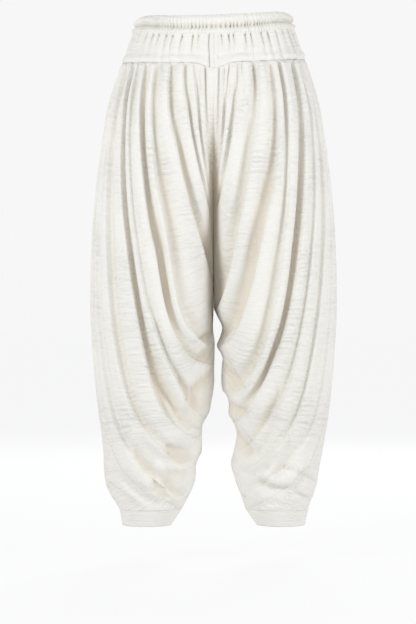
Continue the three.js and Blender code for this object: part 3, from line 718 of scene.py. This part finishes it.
yoke_chance = np.random.default_rng(11)
for yoke_name, side in (("left", LEFT), ("right", RIGHT)):
    turn = np.linspace(0, 1, YOKE_COLUMNS)[None, :]
    down = np.linspace(0, 1, YOKE_ROWS)[:, None]
    top = ring_height(band_bottom_heights, turn) + OVERLAP
    z = top + (yoke_seam(side, turn) - top) * down
    smooth = outside(side, turn, z)
    around = np.concatenate([[0], np.cumsum(np.linalg.norm(np.diff(smooth[-1], axis=0), axis=-1))])[None, :]
    half_round = around[0, -1]
    drop = np.zeros(z.shape)
    for gather in range(GATHERS_PER_HALF):
        place = (gather + 0.55 + yoke_chance.uniform(-0.28, 0.28)) / GATHERS_PER_HALF * half_round
        depth = yoke_chance.uniform(4.6, 7.4)
        reach = yoke_chance.uniform(0.85, 1.7)
        half_width = yoke_chance.uniform(2.2, 3.4)
        lean = yoke_chance.uniform(-3, 3)
        fade = np.clip(1 - down / reach, 0, 1) ** 0.8 + 1.1 * np.exp(-(down / 0.07) ** 2)
        width = half_width * (0.62 + 1.3 * down)
        held = np.clip((top - z) / OVERLAP, 0, 1)
        drop += depth * fade * held * np.exp(-((around - place - lean * down) / width) ** 2)
    puff = -RIDGE_PUFF * np.exp(-((down - RIDGE_DOWN) / RIDGE_REACH) ** 2)
    puff = puff * (0.6 + 0.4 * np.sin(around / 9.0 + 2 * side))
    strip = np.where(turn < 0.5, np.clip((STRIP_WIDTH / 2 - around) / 2, 0, 1), 0)
    drop = (drop + puff) * (1 - strip) - 0.8 * strip
    strip_edge = np.exp(-((around - STRIP_WIDTH / 2) / 1.5) ** 2) * (turn < 0.5)
    drop += strip_edge_depth[side] * strip_edge
    drop += stitch_dents(around, (1 - down) * YOKE_HEIGHT - TOPSTITCH_ABOVE_SEAM, 0.5)
    from_groove = (1 - down) * YOKE_HEIGHT - GROOVE_ABOVE_SEAM
    drop += GROOVE_DEPTH * np.exp(-(from_groove / GROOVE_HALF_WIDTH) ** 2) * (1 - strip)
    drop += EDGE_TURNED_IN * np.exp(-((1 - down) / EDGE_REACH) ** 2)
    yoke_grid = in_stance(smooth - outwards(side, turn, z) * drop[..., None])
    yoke_map = np.stack(np.broadcast_arrays(around * MM, (top - z) * MM), axis=-1)
    # The yoke's gathers and grooves are painted darker and yellower by their depth: painted shade.
    yoke = add_sheet(f"hip_yoke_{yoke_name}", yoke_grid, yoke_map, YOKE_PAINTED_SHADE * drop, leg_cloth, side)
    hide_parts(f"yoke_{yoke_name}")

# The waistband.
# A tube of the same cloth over two rows of elastic, with a stitched groove between them. They draw it up
# into uneven upright ribs, shallow over the swell of each row and deepest in the groove.
BAND_RIBS = 138
BAND_COLUMNS = BAND_RIBS * 7
BAND_ROWS = 36
# How deep the ribs are: all over, and what the groove and the yoke's edge each add to that. Places and
# reaches are shares of the way down. The painted shade is counted as on the yoke. The girth and the height
# are those of the cloth's own map, in metres.
RIBS_ON_SWELL = 0.9
RIBS_IN_GROOVE = 2.2
RIBS_AT_YOKE = 1.4
BAND_GROOVE_DOWN = 0.55
BAND_GROOVE_REACH = 0.13
BAND_EDGE_REACH = 0.12
RIB_DEEPENING = 1.7
BAND_PAINTED_SHADE = 2
BAND_GIRTH = 0.83
BAND_HEIGHT = 0.044
band_down = (0, 0.05, 0.26, 0.44, 0.55, 0.66, 0.83, 0.95, 1)
band_swell = (-3.2, -0.6, 3.2, 0.8, -4.2, 0.6, 3.8, 0.6, -4.0)
BAND_END_DROP = 9
BAND_END_SHARE = 0.13

band_chance = np.random.default_rng(5)
turn_round = np.linspace(0, 1, BAND_COLUMNS, endpoint=False)[None, :]
down = np.linspace(0, 1, BAND_ROWS)[:, None]
band_side = np.where(turn_round <= 0.5, RIGHT, LEFT)
half_turn = np.where(turn_round <= 0.5, 2 * turn_round, 2 - 2 * turn_round)
# The upper edge turns down at each side.
top = ring_height(band_top_heights, half_turn)
top = top - BAND_END_DROP * np.exp(-((half_turn - 0.5) / BAND_END_SHARE) ** 2)
z = top + (ring_height(band_bottom_heights, half_turn) - top) * down
right_points, left_points = outside(RIGHT, half_turn, z), outside(LEFT, half_turn, z)
right_normals, left_normals = outwards(RIGHT, half_turn, z), outwards(LEFT, half_turn, z)
on_right = (band_side == RIGHT)[..., None]
points = np.where(on_right, right_points, left_points)
normals = np.where(on_right, right_normals, left_normals)
rib_numbers = np.arange(BAND_RIBS + 1)
rib_shift = np.interp(turn_round * BAND_RIBS, rib_numbers, band_chance.uniform(-0.3, 0.3, BAND_RIBS + 1))
rib_depth = np.interp(turn_round * BAND_RIBS, rib_numbers, band_chance.uniform(0.5, 1.3, BAND_RIBS + 1))
rib_wave = 0.5 - 0.5 * np.cos(2 * np.pi * (turn_round * BAND_RIBS + rib_shift + 0.12 * np.sin(9 * down)))
in_groove = np.exp(-((down - BAND_GROOVE_DOWN) / BAND_GROOVE_REACH) ** 2)
at_yoke = np.exp(-((down - 1) / BAND_EDGE_REACH) ** 2)
rib_share = RIBS_ON_SWELL + RIBS_IN_GROOVE * in_groove + RIBS_AT_YOKE * at_yoke
swell = smooth_curve(band_down, band_swell)(down) - rib_depth * rib_share * rib_wave ** 1.5 * RIB_DEEPENING
band_grid = in_stance(points + normals * swell[..., None])
band_across = np.broadcast_to(turn_round * BAND_GIRTH, swell.shape)
band_map = np.stack([band_across, np.broadcast_to(down * BAND_HEIGHT, swell.shape)], axis=-1)
# The hollows of the ribs and the groove are painted darker and yellower by their depth: painted shade.
waistband = add_sheet("elastic_waistband", band_grid, band_map, -BAND_PAINTED_SHADE * swell, leg_cloth, around=True)
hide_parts("waistband")

# The ankle bands.
# Each is a plain faced band that ends a leg. It has a stitched line under the leg's seam and slight puckers.
CUFF_COLUMNS = 300
CUFF_ROWS = 16
# The girth and height that its stitches are counted on, the stitched line and the groove at the seam, in
# millimetres, and the height of the cloth's own map, in metres.
CUFF_GIRTH = 300
CUFF_HEIGHT = 34
CUFF_STITCH_DOWN = 5
CUFF_STITCH_DEPTH = 0.45
CUFF_SEAM_DEPTH = 1.6
CUFF_MAP_HEIGHT = 0.034
for cuff_name, side in (("left", LEFT), ("right", RIGHT)):
    angle = np.linspace(0, 2 * np.pi, CUFF_COLUMNS, endpoint=False)[None, :]
    down = np.linspace(0, 1, CUFF_ROWS)[:, None]
    z = CUFF_TOP + 2 + (HEM - CUFF_TOP - 2) * down
    points = section_point(side, z, np.broadcast_to(angle, (CUFF_ROWS, CUFF_COLUMNS)))
    middle, _, centre, _ = section_at(side, z)
    outward = points - np.stack(np.broadcast_arrays(side * middle, centre, z), axis=-1)
    outward /= np.linalg.norm(outward, axis=-1, keepdims=True)
    along = angle / (2 * np.pi) * CUFF_GIRTH
    pucker = 0.9 * np.sin(7 * angle + side) * np.sin(3 * angle + 2) * (1 - down) ** 0.7
    seam_groove = CUFF_SEAM_DEPTH * np.exp(-((down - 0.03) / 0.05) ** 2)
    groove = stitch_dents(along, down * CUFF_HEIGHT - CUFF_STITCH_DOWN, CUFF_STITCH_DEPTH) + seam_groove
    cuff_grid = points + outward * (pucker - groove)[..., None]
    cuff_map = np.stack(np.broadcast_arrays(along * MM, down * CUFF_MAP_HEIGHT), axis=-1)
    # The grooves and the hollows of the puckers are passed on for the painted shade; they are shallower than
    # the depth where it starts.
    cuff = add_sheet(
        f"ankle_cuff_{cuff_name}", cuff_grid, cuff_map, groove - pucker, leg_cloth, side, around=True)
    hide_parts(f"ankle_band_{cuff_name}")

# The floor.
# One wide level sheet of white studio paper, open on every side. The camera sees it as white as the ground
# behind it, but it throws back only a part of that light.
FLOOR = -1045
FLOOR_REACH = 40000
GLOW_AS_LIGHT = 0.74
GLOW_AS_SEEN = 0.88
paper = bpy.data.materials.new("studio_paper")
paper.use_nodes = True
paper_shader = paper.node_tree.nodes["Principled BSDF"]
paper_shader.inputs["Base Color"].default_value = linear("505050")
paper_shader.inputs["Roughness"].default_value = 1.0
paper_shader.inputs["Specular IOR Level"].default_value = 0.0
paper_shader.inputs["Emission Color"].default_value = linear("FFFFFF")
seen = add_node(paper.node_tree, "ShaderNodeLightPath").outputs["Is Camera Ray"]
glow = add_node(paper.node_tree, "ShaderNodeMapRange", {}, {
    "Value": seen, "To Min": GLOW_AS_LIGHT, "To Max": GLOW_AS_SEEN})
paper.node_tree.links.new(glow.outputs["Result"], paper_shader.inputs["Emission Strength"])
floor_corners = [
    (x * FLOOR_REACH * MM, y * FLOOR_REACH * MM, FLOOR * MM)
    for x, y in ((-1, -1), (1, -1), (1, 1), (-1, 1))]
floor_mesh = bpy.data.meshes.new("floor")
floor_mesh.from_pydata(floor_corners, [], [(0, 1, 2, 3)])
floor_mesh.materials.append(paper)
floor = bpy.data.objects.new("floor", floor_mesh)
bpy.context.collection.objects.link(floor)

# The studio light.
# A bright white room and three soft lights. Between the camera and the garment are one on the left and a
# broader one on the right. The third is beyond the garment and lights its front.
LAMP_COLOUR = "F9FBFF"
ROOM_AS_LIGHT = 0.58
ROOM_AS_SEEN = 0.93
world = bpy.data.worlds.new("studio")
bpy.context.scene.world = world
world.use_nodes = True
# What the camera sees of the room is nearly white, and what the room gives in light is less.
room = world.node_tree.nodes["Background"]
seen = add_node(world.node_tree, "ShaderNodeLightPath").outputs["Is Camera Ray"]
room_colour = add_node(world.node_tree, "ShaderNodeMix", {"data_type": "RGBA"}, {
    "Factor": seen, "A": linear(LAMP_COLOUR), "B": linear("FFFFFF")})
world.node_tree.links.new(room_colour.outputs["Result"], room.inputs["Color"])
strength = add_node(world.node_tree, "ShaderNodeMapRange", {}, {
    "Value": seen, "To Min": ROOM_AS_LIGHT, "To Max": ROOM_AS_SEEN})
world.node_tree.links.new(strength.outputs["Result"], room.inputs["Strength"])


def soft_light(name, place, target, size, watts):
    """A square area light at a place, in metres, that faces its target."""
    lamp = bpy.data.lights.new(name, "AREA")
    lamp.size = size
    lamp.energy = watts
    lamp.color = linear(LAMP_COLOUR)[:3]
    light = bpy.data.objects.new(name, lamp)
    light.location = place
    aim = np.array(target) - np.array(place)
    tip = math.acos(-aim[2] / np.linalg.norm(aim))
    light.rotation_euler = (tip, 0, math.atan2(aim[1], aim[0]) - math.pi / 2)
    bpy.context.collection.objects.link(light)


soft_light("key_light", (-2.0, -2.1, 0.5), (0, 0, -0.6), 0.9, 40)
soft_light("fill_light", (2.5, -1.7, 0.1), (0, 0, -0.62), 1.2, 36)
soft_light("front_light", (0.6, 3.0, 1.2), (0, 0, -0.5), 1.6, 90)

# The camera, square to the garment's back and a little below its middle.
CAMERA_DISTANCE = 4000
FRAME_HEIGHT = 1217
SENSOR_SIZE = 36
CAMERA_ASIDE = -11
CAMERA_LEVEL = -559
camera_data = bpy.data.cameras.new("camera")
camera_data.lens = SENSOR_SIZE * CAMERA_DISTANCE / FRAME_HEIGHT
camera_data.clip_end = 50
camera = bpy.data.objects.new("camera", camera_data)
camera.location = (CAMERA_ASIDE * MM, -CAMERA_DISTANCE * MM, CAMERA_LEVEL * MM)
camera.rotation_euler = (math.pi / 2, 0, 0)
bpy.context.collection.objects.link(camera)
bpy.context.scene.camera = camera
bpy.context.scene.view_settings.view_transform = "Standard"
